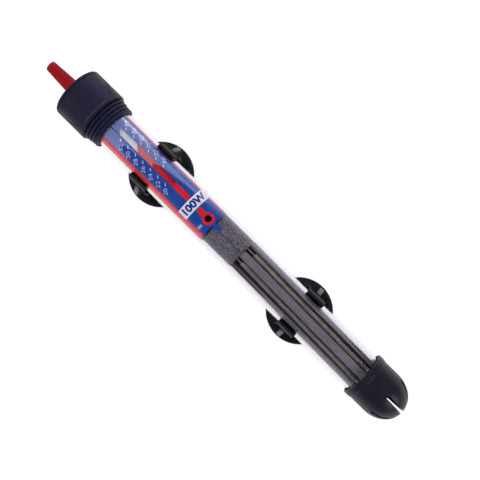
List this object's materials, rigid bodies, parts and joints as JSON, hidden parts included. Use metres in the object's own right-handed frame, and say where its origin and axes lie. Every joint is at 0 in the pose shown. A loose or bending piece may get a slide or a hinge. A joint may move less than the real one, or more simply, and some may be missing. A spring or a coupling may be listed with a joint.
{
  "type": "submersible aquarium heater",
  "caption": "Sealed glass-tube aquarium heater with a thermostat knob in a rubber head, a temperature window, a slotted foot guard, and sliding clips with suction cups.",
  "frame": {"origin": "middle of the bounding box in plan, at the plane of the suction cups' lips", "axes": "+X along the glass tube towards the adjusting knob, +Z away from the aquarium wall that the suction cups hold, +Y to the left of the tube when it is read from the front with the knob up"},
  "size_m": [0.2557, 0.037, 0.0418],
  "materials": {
    "glass": "clear drawn borosilicate tube",
    "head_rubber": "satin moulded navy-black rubber",
    "black_rubber": "satin moulded black rubber",
    "clip_plastic": "moulded black plastic",
    "knob_plastic": "moulded red plastic",
    "blue_card": "printed blue plastic sheet",
    "white_plastic": "moulded white plastic",
    "red_film": "red plastic film",
    "phenolic": "dark moulded phenolic",
    "fibre": "grey heat-proof fibre",
    "ceramic": "unglazed grey steatite",
    "mica": "pressed mica",
    "coil_wire": "oxidised resistance wire",
    "steel": "plated steel",
    "brass": "plain brass",
    "silver_contact": "silver contact rivet",
    "bimetal_alloy": "rolled bimetal strip",
    "lamp_glass": "clear blown glass",
    "lamp_metal": "nickel electrodes in a glass pinch",
    "resistor_lacquer": "tan lacquer",
    "capacitor_lacquer": "blue lacquer",
    "lead_insulation": "white heat-proof sleeving"
  },
  "bodies": {
    "heater": {"glass_tube": "glass", "foot_guard": "black_rubber", "ceramic_core": "ceramic", "heating_coil": "coil_wire", "coil_links": "coil_wire", "crimp_ferrules": "steel", "coil_tails": "coil_wire", "core_rod": "steel", "core_nuts": "steel", "core_end_disc": "mica", "bottom_cushion": "fibre", "insulating_sleeve": "fibre", "scale_card": "blue_card", "thermostat_frame": "phenolic", "lever_pin": "steel", "pivot_pin": "steel", "bimetal_bracket": "bimetal_alloy", "bimetal_clamp": "bimetal_alloy", "clamp_rivets": "brass", "tube_stopper": "black_rubber", "stopper_o_ring": "black_rubber", "spindle_bush": "brass", "spindle_o_ring": "black_rubber", "head_boot": "head_rubber", "cable_gland": "head_rubber", "live_lead": "lead_insulation", "neutral_lead": "lead_insulation", "switched_lead": "lead_insulation", "terminal_tags": "brass", "neon_lamp": "lamp_glass", "neon_electrodes": "lamp_metal", "lamp_resistor": "resistor_lacquer", "component_leads": "steel", "suppression_capacitor": "capacitor_lacquer"},
    "adjuster": {"adjuster_knob": "knob_plastic", "adjuster_spindle": "brass", "spindle_circlip": "steel", "indicator_drum": "white_plastic", "indicator_sleeve": "red_film", "spiral_cam": "white_plastic"},
    "contact_lever": {"lever_arm": "brass", "fixed_contact": "silver_contact", "snap_magnet": "steel", "lever_spring": "steel"},
    "bimetal": {"bimetal_strip": "bimetal_alloy", "moving_contact": "silver_contact", "magnet_armature": "steel"},
    "upper_clip": {"upper_clip": "clip_plastic"},
    "upper_cup": {"upper_suction_cup": "black_rubber"},
    "lower_clip": {"lower_clip": "clip_plastic"},
    "lower_cup": {"lower_suction_cup": "black_rubber"}
  },
  "joints": [
    {"name": "knob_turn", "type": "hinge", "parent": "heater", "child": "adjuster", "pos_m": [0.10825, 0, 0.027], "axis": [-1, 0, 0], "range_deg": [-128, 64]},
    {"name": "lever_rock", "type": "hinge", "parent": "heater", "child": "contact_lever", "pos_m": [0.02215, 0, 0.0224], "axis": [0, -1, 0], "range_deg": [-3, 1.5]},
    {"name": "bimetal_bend", "type": "hinge", "parent": "heater", "child": "bimetal", "pos_m": [0.02365, 0, 0.0196], "axis": [0, 1, 0], "range_deg": [-1.5, 2.2], "stiffness_Nm_per_rad": 0.01},
    {"name": "upper_clip_slide", "type": "slide", "parent": "heater", "child": "upper_clip", "axis": [1, 0, 0], "range_m": [-0.033, 0.023]},
    {"name": "lower_clip_slide", "type": "slide", "parent": "heater", "child": "lower_clip", "axis": [1, 0, 0], "range_m": [-0.036, 0.034]},
    {"name": "upper_cup_spin", "type": "hinge", "parent": "upper_clip", "child": "upper_cup", "pos_m": [0.05015, 0, 0], "axis": [0, 0, 1], "continuous": true},
    {"name": "lower_cup_spin", "type": "hinge", "parent": "lower_clip", "child": "lower_cup", "pos_m": [-0.05675, 0, 0], "axis": [0, 0, 1], "continuous": true}
  ],
  "couplings": [
    {"joint": "lever_rock", "follows": "knob_turn", "ratio": 0.022955}
  ]
}
